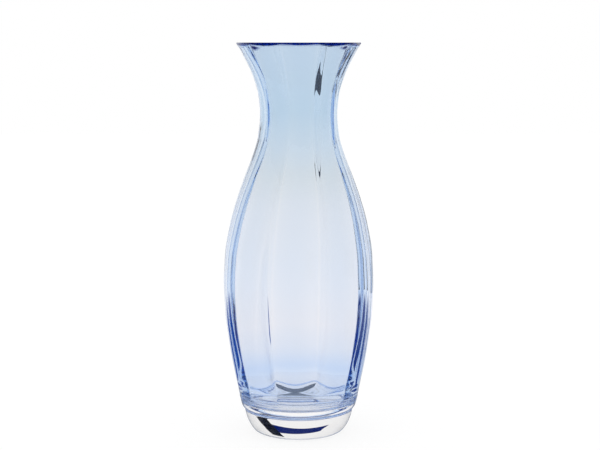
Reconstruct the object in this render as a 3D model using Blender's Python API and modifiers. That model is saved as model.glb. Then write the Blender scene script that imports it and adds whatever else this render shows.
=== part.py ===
"""Cut crystal vase: a blown, blue-tinted vessel with ten inner facets, fused into a thick clear base.

Metres, +Z up, standing on z = 0 with its axis on the origin.
"""
import math

import bpy

MM = 0.001

# Overall sizes, in millimetres.
HEIGHT = 250.0
FACETS = 10  # optic facets inside the vessel
SEGMENTS = 60  # steps around, six to a facet
FACET_STEP = 2 * math.pi / FACETS
FACET_BOLDNESS = 1.4  # 1 is a true decagon inside
CORNER_SOFTNESS = 0.12  # share of the corner that is rounded off
FIRST_FACET = math.radians(-90)  # direction of the facet that faces -Y
TURN = (  # how far the facets are turned at each height, in degrees: they wind a little, as blown ones do
    (30.0, -3.0),
    (100.0, -3.0),
    (160.0, 0.5),
    (205.0, 4.5),
    (232.0, 2.5),
    (HEIGHT, 0.8),
)

# The vessel's outside radius at each height, from the seam with the base up to the lip.
VESSEL_OUTSIDE = (
    (24.0, 38.3),  # seam
    (30.0, 39.5),
    (45.0, 42.6),
    (60.0, 45.2),
    (78.0, 47.4),
    (97.0, 48.3),  # belly, the widest place
    (115.0, 47.45),
    (135.0, 44.1),
    (150.0, 40.0),
    (165.0, 34.7),
    (180.0, 29.0),
    (192.0, 25.7),
    (205.0, 24.5),  # neck
    (216.0, 25.4),
    (228.0, 28.6),
    (238.0, 33.0),
    (HEIGHT, 39.8),  # lip
)

# Wall thickness at the middle of a facet, at each height.
WALL = (
    (30.0, 6.4),
    (50.0, 5.6),
    (97.0, 4.2),
    (150.0, 4.2),
    (205.0, 4.6),
    (235.0, 4.4),
    (HEIGHT, 4.2),
)
LIP_TOP = 2.4  # the lip's rounding stays within this height
LIP_ROUNDING = 0.5  # height of the fire-polished lip as a share of the wall there

FLOOR = 20.6  # top of the glass inside
FLOOR_CORNER = 11.0  # radius between the inner wall and the floor
FACET_FADE = (18.0, 45.0)  # the facets grow in over these heights
UNDERSIDE = 19.2  # bottom of the tinted glass
ROUNDING = 22.0  # the underside starts to curve up at this radius
ROUNDING_WIDTH = 17.7  # and would meet the outside of the vessel
ROUNDING_HEIGHT = 11.8  # this far out and up

# The clear base.
SEAM = 24.0  # its top edge outside
GROOVE = 15.8  # height of the groove between heel and disc
BASE_OUTSIDE = (
    (0.0, 26.0),  # edge of the resting face
    (0.5, 27.6),
    (1.5, 29.0),
    (3.0, 30.3),
    (5.5, 31.9),
    (8.0, 33.1),
    (11.0, 34.1),
    (13.5, 34.7),
    (14.8, 34.9),
    (15.6, 34.4),
    (GROOVE + 0.2, 34.3),  # bottom of the groove
    (16.7, 36.2),
    (18.0, 36.9),
    (20.5, 37.6),
    (SEAM, 38.3),
)
PUNT_RADIUS = 17.0  # ground and polished hollow under the base
PUNT_DEPTH = 2.5
GAP = 0.3  # between the two pieces


def smooth_curve(points):
    """A function of height through the points, with no overshoot between them."""
    xs = [p[0] for p in points]
    ys = [p[1] for p in points]
    steps = [b - a for a, b in zip(xs, xs[1:])]
    slopes = [(b - a) / h for a, b, h in zip(ys, ys[1:], steps)]
    tangents = [slopes[0]]
    for i in range(1, len(slopes)):
        before, after = slopes[i - 1], slopes[i]
        if before * after <= 0:
            tangents.append(0.0)
        else:
            wide = 2 * steps[i] + steps[i - 1]
            narrow = steps[i] + 2 * steps[i - 1]
            tangents.append((wide + narrow) / (wide / before + narrow / after))
    tangents.append(slopes[-1])

    def value(x):
        x = min(max(x, xs[0]), xs[-1])
        i = max(k for k in range(len(steps)) if xs[k] <= x)
        h = steps[i]
        t = (x - xs[i]) / h
        return (
            (2 * t**3 - 3 * t**2 + 1) * ys[i]
            + (t**3 - 2 * t**2 + t) * h * tangents[i]
            + (3 * t**2 - 2 * t**3) * ys[i + 1]
            + (t**3 - t**2) * h * tangents[i + 1]
        )

    return value


vessel_outside = smooth_curve(VESSEL_OUTSIDE)
wall_at = smooth_curve(WALL)
turn_at = smooth_curve(TURN)


def spread(first, last, count):
    """count values from first to last, both included."""
    return [first + (last - first) * i / (count - 1) for i in range(count)]


AROUND = [2 * math.pi * i / SEGMENTS for i in range(SEGMENTS)]


def facet_swell(angle):
    """How far a facet's surface lies outside its middle's radius, as a share of that radius.

    The angle is counted from the middle of the first facet.
    """
    half = FACET_STEP / 2
    across = (angle + half) % FACET_STEP - half
    swell = 1 / math.cos(across) - 1
    corner = 1 / math.cos(half) - 1
    blend = CORNER_SOFTNESS * corner
    cap = corner * (1 - CORNER_SOFTNESS)
    limit = -blend * math.log(math.exp(-swell / blend) + math.exp(-cap / blend))
    return limit + blend * math.log(1 + math.exp(-cap / blend))


def faceting(height):
    """From 0 below the facets to their full boldness."""
    low, high = FACET_FADE
    t = min(max((height - low) / (high - low), 0.0), 1.0)
    return FACET_BOLDNESS * t * t * (3 - 2 * t)


def point(angle, radius, height, turned=0.0):
    """A point in metres, its angle counted from the first facet, which may be turned (in degrees)."""
    a = angle + FIRST_FACET + math.radians(turned)
    return (radius * MM * math.cos(a), radius * MM * math.sin(a), height * MM)


def outer_ring(radius, height):
    """One round ring of points around the axis."""
    return [point(angle, radius, height) for angle in AROUND]


def inner_ring(radius, height, faceted):
    """One faceted ring of points around the axis."""
    turned = turn_at(height)
    return [
        point(angle, radius * (1 + faceted * facet_swell(angle)), height, turned) for angle in AROUND
    ]


def lip_ring(share):
    """One ring of the fire-polished lip; share runs from 0 on its outside to 1 on its inside.

    The lip is round over the wall, so it is fuller where the wall is thick.
    """
    low = HEIGHT - LIP_TOP
    outer = vessel_outside(low)
    flare = (vessel_outside(HEIGHT) - outer) / LIP_TOP
    across, up = math.cos(math.pi * share), math.sin(math.pi * share)
    points = []
    for angle in AROUND:
        inner = (outer - wall_at(low)) * (1 + faceting(low) * facet_swell(angle))
        below = LIP_ROUNDING * (outer - inner) * (1 - up)
        middle = (outer + inner) / 2 + flare * (LIP_TOP - below)
        points.append(
            point(angle, middle + (outer - inner) / 2 * across, HEIGHT - below, turn_at(low) * share)
        )
    return points


def solid_of_rings(name, rings):
    """A closed solid whose skin runs through the rings, from its axis outside and back to its axis."""
    points = [p for one in rings for p in one]
    faces = []
    for k in range(len(rings) - 1):
        for i in range(SEGMENTS):
            j = (i + 1) % SEGMENTS
            a, b = k * SEGMENTS, (k + 1) * SEGMENTS
            faces.append((a + i, a + j, b + j, b + i))
    first, last = len(points), len(points) + 1
    points.append((0.0, 0.0, rings[0][0][2]))
    points.append((0.0, 0.0, rings[-1][0][2]))
    end = (len(rings) - 1) * SEGMENTS
    for i in range(SEGMENTS):
        j = (i + 1) % SEGMENTS
        faces.append((first, j, i))
        faces.append((last, end + i, end + j))
    mesh = bpy.data.meshes.new(name)
    mesh.from_pydata(points, [], faces)
    mesh.update()
    for face in mesh.polygons:
        face.use_smooth = True
    made = bpy.data.objects.new(name, mesh)
    collection.objects.link(made)
    return made


def underside(seam, outwards, steps):
    """The vessel's rounded underside as (radius, height), from near the axis to the given seam height.

    outwards is how far the line lies outside the tinted glass.
    """
    wide, high = ROUNDING_WIDTH + outwards, ROUNDING_HEIGHT + outwards
    centre = UNDERSIDE + ROUNDING_HEIGHT
    line = [(r, centre - high) for r in spread(ROUNDING / 3, ROUNDING, 3)]
    last = math.acos((centre - seam) / high)
    for a in spread(0.0, last, steps)[1:]:
        line.append((ROUNDING + wide * math.sin(a), centre - high * math.cos(a)))
    return line


def glass(name, colour):
    """Smooth glass of one tint."""
    material = bpy.data.materials.new(name)
    material.use_nodes = True
    shader = material.node_tree.nodes["Principled BSDF"]
    shader.inputs["Base Color"].default_value = (*colour, 1.0)
    shader.inputs["Roughness"].default_value = 0.02
    shader.inputs["IOR"].default_value = 1.52
    shader.inputs["Transmission Weight"].default_value = 1.0
    return material


def turned(name, profile):
    """A solid turned from (radius, height) points in millimetres, which run down its outer side."""
    mesh = bpy.data.meshes.new(name)
    points = [(r * MM, 0.0, z * MM) for r, z in profile]
    mesh.from_pydata(points, [(i, i + 1) for i in range(len(points) - 1)], [])
    made = bpy.data.objects.new(name, mesh)
    collection.objects.link(made)
    screw = made.modifiers.new("turning", "SCREW")
    screw.steps = screw.render_steps = SEGMENTS
    screw.use_merge_vertices = True
    screw.merge_threshold = 0.00001
    screw.use_smooth_shade = True
    return made


for old in list(bpy.data.objects):
    bpy.data.objects.remove(old)
collection = bpy.data.collections.new("cut_crystal_vase")
bpy.context.scene.collection.children.link(collection)

# The vessel: its rounded underside, the outside up to the lip, the rounded lip, and the faceted inside.
skin = [outer_ring(r, z) for r, z in underside(SEAM, 0.0, 8)]
for z in [SEAM, 27.0] + spread(31.0, 243.0, 25) + [HEIGHT - LIP_TOP]:
    skin.append(outer_ring(vessel_outside(z), z))
skin += [lip_ring(share) for share in spread(0.0, 1.0, 9)]
foot_of_wall = FLOOR + FLOOR_CORNER
for z in [HEIGHT - LIP_TOP] + spread(243.0, foot_of_wall, 25):
    skin.append(inner_ring(vessel_outside(z) - wall_at(z), z, faceting(z)))
inner = vessel_outside(foot_of_wall) - wall_at(foot_of_wall)
for a in spread(0.0, math.pi / 2, 7)[1:]:
    skin.append(
        inner_ring(
            inner - FLOOR_CORNER * (1 - math.cos(a)),
            foot_of_wall - FLOOR_CORNER * math.sin(a),
            faceting(foot_of_wall) * math.cos(a),
        )
    )
skin.append(inner_ring(ROUNDING / 3, FLOOR, 0.0))
vessel = solid_of_rings("vessel", skin)
vessel.data.materials.append(glass("blue_glass", (0.55, 0.70, 0.93)))

# The base: the cup that holds the vessel, heel, groove, disc, resting face and polished hollow.
profile = [(0.0, UNDERSIDE - GAP)] + underside(SEAM - GAP, GAP, 8)
for z, r in reversed(BASE_OUTSIDE):
    profile.append((r, min(z, SEAM - GAP)))
for share in (1.0, 0.9, 0.75, 0.6, 0.4, 0.2, 0.0):
    profile.append((PUNT_RADIUS * share, PUNT_DEPTH * (1 - share**2)))
base = turned("base", profile)
base.data.materials.append(glass("clear_crystal", (0.96, 0.96, 0.95)))
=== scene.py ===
"""Cut crystal vase: its looks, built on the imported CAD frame.

Two pieces of glass stand for the two CAD nodes: the blue vessel with ten soft facets inside, and the
clear base that it is fused into. Metres, +Z up; the vase's own sizes are in millimetres and the
stage's in metres.
"""

import math

import bpy
import numpy as np
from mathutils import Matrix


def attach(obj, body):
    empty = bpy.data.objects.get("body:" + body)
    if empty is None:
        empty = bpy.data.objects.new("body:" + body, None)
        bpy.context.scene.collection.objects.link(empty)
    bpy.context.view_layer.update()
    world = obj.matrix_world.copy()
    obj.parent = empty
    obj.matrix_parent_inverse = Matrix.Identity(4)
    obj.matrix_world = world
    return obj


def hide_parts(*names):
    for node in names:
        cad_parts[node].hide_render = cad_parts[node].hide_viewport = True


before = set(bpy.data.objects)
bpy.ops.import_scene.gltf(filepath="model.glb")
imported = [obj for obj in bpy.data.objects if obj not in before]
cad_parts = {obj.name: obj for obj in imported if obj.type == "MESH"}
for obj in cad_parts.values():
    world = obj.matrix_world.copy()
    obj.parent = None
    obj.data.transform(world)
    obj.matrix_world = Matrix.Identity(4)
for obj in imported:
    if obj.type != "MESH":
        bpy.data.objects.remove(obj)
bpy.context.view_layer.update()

MM = 0.001
HEIGHT = 250.0
SEGMENTS = 240  # points around each ring

# The facets inside the vessel.
FACETS = 10
FACET_STEP = 2 * math.pi / FACETS
FACET_BOLDNESS = 1.4  # 1 is a true decagon inside
CORNER_SOFTNESS = 0.12  # share of the corner that is rounded off
FIRST_FACET = math.radians(-90)  # a facet faces -Y, before any turn
FACET_FADE = (18.0, 45.0)  # the facets grow in over these heights
TURN = (  # how far they are turned at each height, in degrees: they wind a little, as blown ones do
    (30.0, -3.0),
    (100.0, -3.0),
    (160.0, 0.5),
    (205.0, 4.5),
    (232.0, 2.5),
    (HEIGHT, 0.8),
)

# The vessel: its outside radius, and its wall at the middle of a facet, at each height. The outside
# was fitted to the outline in the photo and rounded.
VESSEL_OUTSIDE = (
    (24.0, 38.3),
    (30.0, 39.5),
    (45.0, 42.6),
    (60.0, 45.2),
    (78.0, 47.4),
    (97.0, 48.2),
    (115.0, 47.45),
    (135.0, 44.1),
    (150.0, 40.0),
    (165.0, 34.7),
    (180.0, 29.0),
    (192.0, 25.7),
    (205.0, 24.5),
    (216.0, 25.4),
    (228.0, 28.6),
    (238.0, 33.0),
    (HEIGHT, 39.8),
)
WALL = (
    (30.0, 6.4),
    (50.0, 5.6),
    (97.0, 4.2),
    (150.0, 4.2),
    (205.0, 4.6),
    (235.0, 4.4),
    (HEIGHT, 4.2),
)
WAVES = (  # unevenness from blowing: size, waves around, lean with height, phase
    (0.5, 3, 0.095, 1.0),
    (0.35, 2, 0.19, 2.0),
    (0.25, 7, -0.11, 0.0),
)
OUTER_WAVE = 0.02  # how much of it the outside keeps
OUTER_GROWTH = 20.0  # and the height above the seam over which it grows in
INNER_WAVE = 0.015  # how much of it the inside keeps
INNER_GROWTH = 15.0  # and the height above the floor's corner over which it grows in
LIP_TOP = 2.4  # the lip's rounding stays within this height
LIP_ROUNDING = 0.5  # height of the fire-polished lip as a share of the wall there
FLOOR = 20.6  # top of the glass inside
FLOOR_CORNER = 11.0  # radius between the inner wall and the floor
FLOOR_MIDDLE = 3.0  # radius of the last ring on the floor
UNDERSIDE = 19.2  # bottom of the tinted glass
ROUNDING = 22.0  # radius at which the flat underside starts to curve up
ROUNDING_WIDTH = 17.7  # the curve is a quarter of an ellipse: half its width
ROUNDING_HEIGHT = 11.8  # and half its height

# The clear base.
SEAM = 27.5  # top edge of the clear glass, where it runs out to nothing on the vessel
BASE_OUTSIDE = (  # outside radius at each height, with the groove at about 16
    (0.0, 26.0),
    (0.5, 27.6),
    (1.5, 29.0),
    (3.0, 30.3),
    (5.5, 31.9),
    (8.0, 33.1),
    (11.0, 34.1),
    (13.5, 34.7),
    (14.8, 34.9),
    (15.6, 34.4),
    (16.0, 34.3),
    (16.7, 36.2),
    (18.0, 36.9),
    (20.5, 37.6),
    (24.0, 38.3),
)
HEEL = 23.0  # above this the base's outside may follow the vessel's
EDGE_HEIGHTS = (0.0, 0.05, 0.15, 0.3)  # rings close together on the edge that it stands on
BASE_STRETCHES = (  # lowest and highest ring, and number of rings: foot, groove and disc
    (0.5, 15.0, 40),
    (15.1, 17.2, 22),
    (17.5, SEAM, 24),
)
PUNT_RADIUS = 17.0  # shallow hollow underneath
PUNT_DEPTH = 2.5
PUNT_MIDDLE = 0.06  # share of its radius at which its first ring lies
STEPS = {  # number of rings in the other stretches
    "flat": 6,
    "underside": 80,
    "outside": 90,
    "lip": 15,
    "inside": 110,
    "corner": 40,
    "floor": 8,
    "punt": 20,
}

# The glass.
ABSORBED = (20.5, 13.0, 4.4)  # how strongly the tinted glass absorbs red, green and blue, per metre
MIRRORING = (0.25, 0.30, 0.45)  # share of real glass's mirroring that is kept, by colour
IOR = 1.52
SHARP = math.radians(38)  # edges sharper than this stay crisp
FUSED = 0.05  # how far the two glasses reach into each other where they are fused
CORD_STRETCH = (1.0, 1.0, 0.18)  # cords are drawn out upwards
CORDS = {"Scale": 60.0, "Detail": 2.0, "Roughness": 0.45}
CORD_TINT = 0.985  # share of light that the darkest cord lets through
CORD_BUMP = {"Strength": 0.03, "Distance": 0.001}
BLUE_TINTS_AND_SHADE = (  # colour of the blue glass at each height, with painted shade in it: the grey that dims it stands in for a dimmer room seen through the glass; 60 to 207 began as a fit to the photo's colours
    (19.0, (0.97, 0.97, 0.99)),
    (26.0, (0.94, 0.96, 1.0)),
    (33.0, (0.79, 0.87, 1.0)),
    (45.0, (0.91, 0.93, 0.98)),
    (60.0, (0.98, 0.96, 0.97)),
    (100.0, (0.93, 0.94, 0.97)),
    (145.0, (0.91, 0.92, 0.94)),
    (165.0, (0.87, 0.89, 0.90)),
    (185.0, (0.83, 0.88, 0.92)),
    (207.0, (0.78, 0.86, 0.92)),
    (248.6, (0.79, 0.86, 0.93)),
    # The navy at the lip is painted shade: it stands in for the dark blue that the lip shows when seen
    # edge-on.
    (249.2, (0.02, 0.06, 0.32)),
    (HEIGHT, (0.01, 0.04, 0.28)),
)
CLEAR_SHADE_AND_REFLECTION = (  # and of the clear glass: its grey is painted shade for the greyer backdrop seen through it, and the blue in the groove is a painted reflection of the blue vessel
    (0.0, (0.89, 0.885, 0.885)),
    (14.6, (0.90, 0.895, 0.895)),
    # The groove's blue is a painted reflection of the blue vessel.
    (15.3, (0.25, 0.45, 0.85)),
    (16.3, (0.25, 0.45, 0.85)),
    (17.2, (0.98, 0.975, 0.985)),
)

# The stage: colours, then sizes in metres.
# The navy, the ink and the two floor blues are painted shade and painted shadow, seen only in the glass.
BLUE_SHADE_NAVY = (0.0006, 0.0086, 0.127)
BLACK = (0.004, 0.004, 0.006)
CONTACT_SHADOW_INK = (0.008, 0.02, 0.035)
LEFT_SHADOW_BLUE = (0.02, 0.08, 0.36)
RIGHT_SHADOW_BLUE = (0.002, 0.04, 0.24)
FLARE_BLUE = (0.006, 0.03, 0.10)
DARK_BLUE = (0.02, 0.06, 0.20)
DIM_ROOM = (0.10, 0.12, 0.16)  # what the glass mirrors: only what shows through it is bright
NEAR_SIDE = (0.25, 0.0)  # the floor dims in reflections from this far behind the axis to here
BEHIND = (-0.2, 0.35)  # but the room stays bright in them where the direction's Y goes up past these
LOW_DOWN = (0.45, 0.15)  # and its Z comes down past these
ON_FLOOR = 0.0002  # height of the flags that lie on the floor
# A navy card far behind the vase, seen through the foot: painted shade, standing in for the blue light
# that the vessel itself throws.
BLUE_SHADE_CARD = ((-26, 11.5), (22, 10.2), (22, 17), (-18, 16))  # azimuth and elevation
BLUE_SHADE_DISTANCE = 1.65
LEANING_FLAG = ((11, 21), (22, 21), (45, 1), (28, 1))  # azimuth and elevation
LEANING_DISTANCE = 0.46
# Two blue sheets on the floor on either side of the vase: painted shadow and painted caustic, standing in
# for the blue shade and light that the vase throws on the floor.
SHADOW_SHEET = ((0.070, 0.036), (0.110, 0.17), (0.25, 0.40), (0.37, 0.29), (0.16, 0.045))  # x and y
SHADOW_SHEET_FADING = (0.27, 0.46)  # distances from the vase between which it fades out
NECK_FLAG = ((24, 1.25), (30, 1.5), (30, 2.3), (22, 1.7))  # azimuth and distance
FLARE_FLAG = ((32, 0.52), (46, 0.52), (38, 0.98), (26, 0.98))  # azimuth and distance
FLARE_SOFTNESS = 0.25
# An ink sheet on the floor just behind the foot: painted contact shadow, seen through the base.
CONTACT_SHADOW_SHEET = ((-0.018, 0.028), (0.012, 0.0305), (0.020, 0.0365), (-0.018, 0.036))  # x and y
FRONT_FLAGS = (("front_flag_left", -165, -118), ("front_flag_right", 118, 165))  # and azimuths
FRONT_ELEVATIONS = (-8, 14)
FRONT_DISTANCE = 1.6
FRONT_SOFTNESS = 0.3
MIDDLE = 0.1  # height on the vase that the front flags are set out from
GROUND_SIZE = 6.0
GROUND_HEIGHT = -0.0003  # the vase stands just clear of it
GROUND_GREY = 0.15
GROUND_GLOW = 0.87
LENS = 85.0
SENSOR = 36.0
CAMERA_PLACE = (0.0, -0.9, 0.25)
CAMERA_TURN = (math.radians(90 - 7.34), 0.0, math.radians(-0.053))
BOUNCES = 48
CLEAR_BOUNCES = 16  # through the faded edges of flags


def smooth_curve(points):
    """A function of height through the points, with no overshoot between them."""
    xs, ys = (np.array(column, float) for column in zip(*points))
    steps = np.diff(xs)
    slopes = np.diff(ys) / steps
    tangents = np.zeros(len(xs))
    tangents[0], tangents[-1] = slopes[0], slopes[-1]
    for i in range(1, len(slopes)):
        before, after = slopes[i - 1], slopes[i]
        if before * after > 0:
            wide, narrow = 2 * steps[i] + steps[i - 1], steps[i] + 2 * steps[i - 1]
            tangents[i] = (wide + narrow) / (wide / before + narrow / after)

    def value(x):
        x = min(max(x, xs[0]), xs[-1])
        i = min(max(int(np.searchsorted(xs, x)) - 1, 0), len(steps) - 1)
        h = steps[i]
        t = (x - xs[i]) / h
        return float(
            (2 * t**3 - 3 * t**2 + 1) * ys[i]
            + (t**3 - 2 * t**2 + t) * h * tangents[i]
            + (3 * t**2 - 2 * t**3) * ys[i + 1]
            + (t**3 - t**2) * h * tangents[i + 1]
        )

    return value


vessel_outside = smooth_curve(VESSEL_OUTSIDE)
wall_at = smooth_curve(WALL)
lower_outside = smooth_curve(BASE_OUTSIDE)
turn = smooth_curve(TURN)
around = FIRST_FACET + np.arange(SEGMENTS) * 2 * math.pi / SEGMENTS


def base_outside(height):
    """The base's outside, which follows the vessel's above the heel."""
    lower = lower_outside(height)
    return max(lower, vessel_outside(height)) if height > HEEL else lower


def facet_swell(height):
    """How far a facet lies outside its middle's radius, around the vase, as a share of that radius."""
    half = FACET_STEP / 2
    across = np.mod(around - FIRST_FACET - math.radians(turn(height)) + half, FACET_STEP) - half
    swell = 1 / np.cos(across) - 1
    corner = 1 / math.cos(half) - 1
    blend = CORNER_SOFTNESS * corner
    cap = corner * (1 - CORNER_SOFTNESS)
    limit = -blend * np.log(np.exp(-swell / blend) + np.exp(-cap / blend))
    return limit + blend * math.log(1 + math.exp(-cap / blend))


def faceting(height):
    """How bold the facets are at this height: 0 near the floor, and FACET_BOLDNESS above the fade."""
    low, high = FACET_FADE
    t = min(max((height - low) / (high - low), 0.0), 1.0)
    return FACET_BOLDNESS * t * t * (3 - 2 * t)


def waver(height):
    """The unevenness of hand-blown glass, in millimetres, around the vase at this height."""
    return sum(
        size * np.sin(count * around + lean * height + phase) for size, count, lean, phase in WAVES
    )


def ring(radius, height, faceted=0.0, wave=0.0):
    """Points around the axis; radius and height are in millimetres, one value or one for each point."""
    if faceted:
        radius = radius * (1 + faceted * facet_swell(height))
    r = (radius + wave * waver(height)) * MM
    z = np.full(SEGMENTS, 1.0) * height * MM
    return np.stack([r * np.cos(around), r * np.sin(around), z], axis=1)


def solid_of_rings(name, rings):
    """A closed, smooth solid whose skin runs through the rings, from the axis outside and back to it."""
    points = np.concatenate(rings + [[[0, 0, rings[0][0, 2]], [0, 0, rings[-1][0, 2]]]])
    i = np.arange(SEGMENTS)
    j = (i + 1) % SEGMENTS
    faces = []
    for k in range(len(rings) - 1):
        a, b = k * SEGMENTS, (k + 1) * SEGMENTS
        faces += np.stack([a + i, a + j, b + j, b + i], axis=1).tolist()
    first, last, end = len(points) - 2, len(points) - 1, (len(rings) - 1) * SEGMENTS
    faces += [(first, int(q), int(p)) for p, q in zip(i, j)]
    faces += [(last, end + int(p), end + int(q)) for p, q in zip(i, j)]
    mesh = bpy.data.meshes.new(name)
    mesh.from_pydata(points.tolist(), [], faces)
    mesh.update()
    mesh.polygons.foreach_set("use_smooth", [True] * len(mesh.polygons))
    mesh.set_sharp_from_angle(angle=SHARP)
    made = bpy.data.objects.new(name, mesh)
    bpy.context.scene.collection.objects.link(made)
    return made


def underside(seam, outwards):
    """(radius, height) along the vessel's underside, from near its middle up to the seam.

    outwards is how far the line lies outside the tinted glass.
    """
    wide, high = ROUNDING_WIDTH + outwards, ROUNDING_HEIGHT + outwards
    centre = UNDERSIDE + ROUNDING_HEIGHT
    flat = STEPS["flat"]
    line = [(r, centre - high) for r in np.linspace(ROUNDING / flat, ROUNDING, flat)]
    last = math.acos((centre - seam) / high)
    for a in np.linspace(0.0, last, STEPS["underside"])[1:]:
        line.append((ROUNDING + wide * math.sin(a), centre - high * math.cos(a)))
    return line


def lip_rings():
    """The fire-polished lip: round over the wall, so higher and fuller where the wall is thick."""
    low = HEIGHT - LIP_TOP
    outer = vessel_outside(low)
    inner = (outer - wall_at(low)) * (1 + faceting(low) * facet_swell(low))
    thick = outer - inner
    lean = (vessel_outside(HEIGHT) - outer) / LIP_TOP
    rings = []
    for t in np.linspace(0, math.pi, STEPS["lip"]):
        below = LIP_ROUNDING * thick * (1 - math.sin(t))
        r = (outer + inner) / 2 + thick / 2 * math.cos(t) + lean * (LIP_TOP - below)
        rings.append(ring(r, HEIGHT - below))
    return rings


def vessel_rings():
    """The vessel's skin: underside, outside, lip, faceted inside, rounded corner and floor."""
    rings = [ring(r, z) for r, z in underside(SEAM, 0.0)]
    lip_foot = HEIGHT - LIP_TOP
    for z in np.linspace(SEAM, lip_foot, STEPS["outside"])[1:]:
        wave = OUTER_WAVE * min((z - SEAM) / OUTER_GROWTH, 1)
        rings.append(ring(vessel_outside(z), z, wave=wave))
    rings += lip_rings()
    wall_foot = FLOOR + FLOOR_CORNER
    for z in np.linspace(lip_foot, wall_foot, STEPS["inside"]):
        wave = INNER_WAVE * min((z - wall_foot) / INNER_GROWTH, 1)
        rings.append(ring(vessel_outside(z) - wall_at(z), z, faceting(z), wave))
    inner = vessel_outside(wall_foot) - wall_at(wall_foot)
    for a in np.linspace(0, math.pi / 2, STEPS["corner"])[1:]:
        r = inner - FLOOR_CORNER * (1 - math.cos(a))
        z = wall_foot - FLOOR_CORNER * math.sin(a)
        rings.append(ring(r, z, faceting(wall_foot) * math.cos(a)))
    for r in np.linspace(inner - FLOOR_CORNER, FLOOR_MIDDLE, STEPS["floor"])[1:]:
        rings.append(ring(r, FLOOR))
    return rings


def base_rings():
    """The base's skin: hollow underneath, outside up to the seam, and the cup that holds the vessel."""
    rings = []
    for t in np.linspace(PUNT_MIDDLE, 1, STEPS["punt"]):
        rings.append(ring(PUNT_RADIUS * t, PUNT_DEPTH * (1 - t * t)))
    heights = list(EDGE_HEIGHTS)
    for low, high, count in BASE_STRETCHES:
        heights += list(np.linspace(low, high, count))
    rings += [ring(base_outside(z), z) for z in heights]
    rings.append(ring(base_outside(SEAM) - FUSED, SEAM + FUSED))
    rings += [ring(r, z) for r, z in reversed(underside(SEAM + FUSED, -FUSED))]
    return rings


def add_node(tree, kind, values=None, links=None, **settings):
    """A new shader node, with its input values, the sockets linked to it and its other settings."""
    node = tree.nodes.new(kind)
    for key, value in settings.items():
        setattr(node, key, value)
    for key, value in (values or {}).items():
        node.inputs[key].default_value = value
    for key, socket in (links or {}).items():
        tree.links.new(socket, node.inputs[key])
    return node


class Nodes:
    """A new material, to which shader nodes are added."""

    def __init__(self, name):
        self.material = bpy.data.materials.new(name)
        self.material.use_nodes = True
        self.tree = self.material.node_tree
        self.tree.nodes.clear()
        self.output = self.tree.nodes.new("ShaderNodeOutputMaterial")

    def add(self, kind, values=None, links=None, **settings):
        return add_node(self.tree, kind, values, links, **settings)

    def use(self, socket, name="Surface"):
        """Make the socket the material's surface or volume."""
        self.tree.links.new(socket, self.output.inputs[name])


def glass(name, tints_and_shade, absorbed=None):
    """Polished glass with faint cords drawn upwards in it.

    The second argument holds (height in mm, colour) up the piece: the glass's colour, with painted shade
    and painted reflection in it;
    absorbed is how strongly the glass absorbs red, green and blue, per metre.
    """
    n = Nodes(name)
    place = n.add("ShaderNodeTexCoord")
    drawn = n.add("ShaderNodeMapping", {"Scale": CORD_STRETCH}, {"Vector": place.outputs["Object"]})
    cords = n.add("ShaderNodeTexNoise", CORDS, {"Vector": drawn.outputs["Vector"]})
    xyz = n.add("ShaderNodeSeparateXYZ", links={0: place.outputs["Object"]})
    up = n.add("ShaderNodeMapRange", {"From Max": HEIGHT * MM}, {"Value": xyz.outputs["Z"]})
    # The ramp gives the glass's colour up the piece, with its painted shade and painted reflection.
    tint_and_shade = n.add("ShaderNodeValToRGB", links={"Fac": up.outputs["Result"]})
    stops = tint_and_shade.color_ramp.elements
    for k, (height, colour) in enumerate(tints_and_shade):
        stop = stops[k] if k < len(stops) else stops.new(height / HEIGHT)
        stop.position = height / HEIGHT
        stop.color = (*colour, 1)
    light = n.add("ShaderNodeMapRange", {"To Min": CORD_TINT}, {"Value": cords.outputs["Fac"]})
    colour = n.add(
        "ShaderNodeVectorMath",
        links={0: tint_and_shade.outputs["Color"], 1: light.outputs["Result"]},
        operation="MULTIPLY",
    )
    bump = n.add("ShaderNodeBump", CORD_BUMP, {"Height": cords.outputs["Fac"]})
    shader = n.add(
        "ShaderNodeBsdfPrincipled",
        {"Roughness": 0.0, "IOR": IOR, "Transmission Weight": 1.0, "Specular Tint": (*MIRRORING, 1)},
        {"Base Color": colour.outputs["Vector"], "Normal": bump.outputs["Normal"]},
    )
    n.use(shader.outputs["BSDF"])
    if absorbed:
        most = max(absorbed)
        volume = n.add(
            "ShaderNodeVolumeAbsorption",
            {"Color": (*[1 - a / most for a in absorbed], 1), "Density": most},
        )
        n.use(volume.outputs["Volume"], "Volume")
    return n.material


vessel = solid_of_rings("vessel_glass", vessel_rings())
vessel.data.materials.append(glass("blue_glass", BLUE_TINTS_AND_SHADE, ABSORBED))
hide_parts("vessel")
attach(vessel, "root")

base = solid_of_rings("base_crystal", base_rings())
base.data.materials.append(glass("clear_crystal", CLEAR_SHADE_AND_REFLECTION))
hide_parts("base")
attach(base, "root")


def smooth_share(tree, socket, gone, full):
    """A socket that goes smoothly from 0 to 1 as the given one goes from gone to full."""
    share = add_node(
        tree,
        "ShaderNodeMapRange",
        {"From Min": gone, "From Max": full},
        {"Value": socket},
        interpolation_type="SMOOTHSTEP",
    )
    return share.outputs["Result"]


def combined(tree, operation, first, second):
    """The first socket times the second, or less it, kept between 0 and 1."""
    links = {0: first, 1: second}
    made = add_node(tree, "ShaderNodeMath", links=links, operation=operation, use_clamp=True)
    return made.outputs[0]


def mirrored(tree):
    """A socket that is 1 where a ray was last mirrored, and 0 where it came through glass or straight."""
    ray = add_node(tree, "ShaderNodeLightPath")
    return combined(tree, "SUBTRACT", ray.outputs["Is Glossy Ray"], ray.outputs["Is Transmission Ray"])


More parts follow.
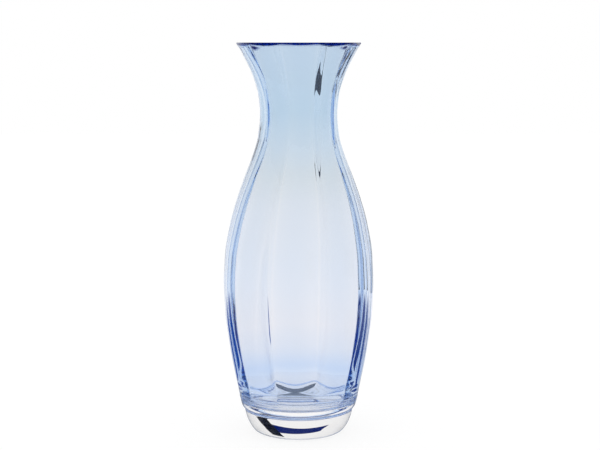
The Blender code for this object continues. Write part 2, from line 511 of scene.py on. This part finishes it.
def near_side(tree):
    """As mirrored, but only on the floor before the vase."""
    place = add_node(tree, "ShaderNodeNewGeometry")
    xyz = add_node(tree, "ShaderNodeSeparateXYZ", links={0: place.outputs["Position"]})
    far, near = NEAR_SIDE
    before = add_node(
        tree, "ShaderNodeMapRange", {"From Min": far, "From Max": near}, {"Value": xyz.outputs["Y"]}
    )
    return combined(tree, "MULTIPLY", mirrored(tree), before.outputs["Result"])


def dimmed(tree):
    """As mirrored, but the low part of the room behind the vase stays bright in its reflections."""
    place = add_node(tree, "ShaderNodeTexCoord")
    xyz = add_node(tree, "ShaderNodeSeparateXYZ", links={0: place.outputs["Generated"]})
    behind = smooth_share(tree, xyz.outputs["Y"], *BEHIND)
    low = smooth_share(tree, xyz.outputs["Z"], *LOW_DOWN)
    bright = combined(tree, "MULTIPLY", behind, low)
    return combined(tree, "SUBTRACT", mirrored(tree), bright)


# The room: white, and dim where the glass mirrors it.
scene = bpy.context.scene
world = bpy.data.worlds.new("studio")
scene.world = world
world.use_nodes = True
room = world.node_tree
white = room.nodes["Background"]
white.inputs["Color"].default_value = (1, 1, 1, 1)
dim = add_node(room, "ShaderNodeBackground", {"Color": (*DIM_ROOM, 1)})
chosen = add_node(
    room,
    "ShaderNodeMixShader",
    links={0: dimmed(room), 1: white.outputs[0], 2: dim.outputs[0]},
)
room.links.new(chosen.outputs[0], room.nodes["World Output"].inputs["Surface"])


def toward(azimuth, elevation, distance, height):
    """A point as seen from the vase at this height: azimuth in degrees from +Y towards +X."""
    a, e = math.radians(azimuth), math.radians(elevation)
    flat = distance * math.cos(e)
    return (flat * math.sin(a), flat * math.cos(a), height + distance * math.sin(e))


def glass_only_card(name, corners, colour, soft=0.0, fading=None):
    """A flat card that only the glass sees: its corners and its colour. Some are studio flags, some are
    sheets of painted shade and painted shadow.

    soft is the share of a four-cornered card's width over which its edges fade; fading gives the
    distances from the vase between which the card fades out.
    """
    mesh = bpy.data.meshes.new(name)
    mesh.from_pydata(corners, [], [range(len(corners))])
    across = mesh.uv_layers.new(name="across")
    for loop, place in zip(across.data, ((0, 0), (1, 0), (1, 1), (0, 1))):
        loop.uv = place
    made = bpy.data.objects.new(name, mesh)
    bpy.context.scene.collection.objects.link(made)
    n = Nodes(name + "_surface")
    shown = n.add("ShaderNodeEmission", {"Color": (*colour, 1)}).outputs["Emission"]
    shares = []
    if soft:
        place = n.add("ShaderNodeUVMap", uv_map="across")
        xyz = n.add("ShaderNodeSeparateXYZ", links={0: place.outputs["UV"]})
        for axis in (0, 1):
            off = n.add("ShaderNodeMath", {1: 0.5}, {0: xyz.outputs[axis]}, operation="SUBTRACT")
            far = n.add("ShaderNodeMath", links={0: off.outputs[0]}, operation="ABSOLUTE")
            shares.append((far.outputs[0], 0.5, 0.5 - soft))
    if fading:
        place = n.add("ShaderNodeNewGeometry")
        away = n.add("ShaderNodeVectorMath", links={0: place.outputs["Position"]}, operation="LENGTH")
        shares.append((away.outputs["Value"], fading[1], fading[0]))
    for value, gone, full in shares:
        share = smooth_share(n.tree, value, gone, full)
        clear = n.add("ShaderNodeBsdfTransparent")
        mixed = n.add(
            "ShaderNodeMixShader",
            links={0: share, 1: clear.outputs["BSDF"], 2: shown},
        )
        shown = mixed.outputs["Shader"]
    n.use(shown)
    mesh.materials.append(n.material)
    made.visible_camera = False
    made.visible_diffuse = False
    made.visible_shadow = False


# The flags: they give the dark and blue shapes that the photo's room shows through the glass; the navy
# card and the blue and ink sheets on the floor are painted shade and painted shadow instead.
# Painted shade: the navy card that stands in for the vessel's own blue light.
glass_only_card("painted_blue_shade", [toward(a, e, BLUE_SHADE_DISTANCE, 0) for a, e in BLUE_SHADE_CARD], BLUE_SHADE_NAVY)
glass_only_card("leaning_flag", [toward(a, e, LEANING_DISTANCE, 0) for a, e in LEANING_FLAG], BLACK)
# Painted shadow and painted caustic: the vase's blue shade on the floor, fading out away from it.
for side, name, colour in ((-1, "painted_shadow_left", LEFT_SHADOW_BLUE), (1, "painted_shadow_right", RIGHT_SHADOW_BLUE)):
    glass_only_card(name, [(side * x, y, ON_FLOOR) for x, y in SHADOW_SHEET], colour, fading=SHADOW_SHEET_FADING)
glass_only_card("neck_flag", [toward(a, 0, d, ON_FLOOR) for a, d in NECK_FLAG], BLACK)
glass_only_card("flare_flag", [toward(a, 0, d, ON_FLOOR) for a, d in FLARE_FLAG], FLARE_BLUE, FLARE_SOFTNESS)
# Painted contact shadow behind the foot.
glass_only_card("painted_contact_shadow", [(x, y, ON_FLOOR) for x, y in CONTACT_SHADOW_SHEET], CONTACT_SHADOW_INK)
low, high = FRONT_ELEVATIONS
for name, start, end in FRONT_FLAGS:
    corners = ((start, low), (end, low), (end, high), (start, high))
    places = [toward(a, e, FRONT_DISTANCE, MIDDLE) for a, e in corners]
    glass_only_card(name, places, DARK_BLUE, FRONT_SOFTNESS)

# The ground, and the camera at the photo's viewing angle.
bpy.ops.mesh.primitive_plane_add(size=GROUND_SIZE, location=(0, 0, GROUND_HEIGHT))
ground = bpy.context.object
ground.name = "ground"
n = Nodes("white_sweep")
matt = n.add("ShaderNodeBsdfDiffuse", {"Color": (GROUND_GREY, GROUND_GREY, GROUND_GREY, 1)})
lit = n.add("ShaderNodeEmission", {"Color": (1, 1, 1, 1), "Strength": GROUND_GLOW})
both = n.add("ShaderNodeAddShader", links={0: matt.outputs["BSDF"], 1: lit.outputs["Emission"]})
dim = n.add("ShaderNodeEmission", {"Color": (*DIM_ROOM, 1)})
chosen = n.add(
    "ShaderNodeMixShader",
    links={0: near_side(n.tree), 1: both.outputs["Shader"], 2: dim.outputs["Emission"]},
)
n.use(chosen.outputs["Shader"])
ground.data.materials.append(n.material)

camera_data = bpy.data.cameras.new("camera")
camera = bpy.data.objects.new("camera", camera_data)
scene.collection.objects.link(camera)
scene.camera = camera
camera_data.lens = LENS
camera_data.sensor_width = SENSOR
camera.location = CAMERA_PLACE
camera.rotation_euler = CAMERA_TURN

scene.view_settings.view_transform = "Standard"
scene.cycles.max_bounces = BOUNCES
scene.cycles.glossy_bounces = BOUNCES
scene.cycles.transmission_bounces = BOUNCES
scene.cycles.transparent_max_bounces = CLEAR_BOUNCES
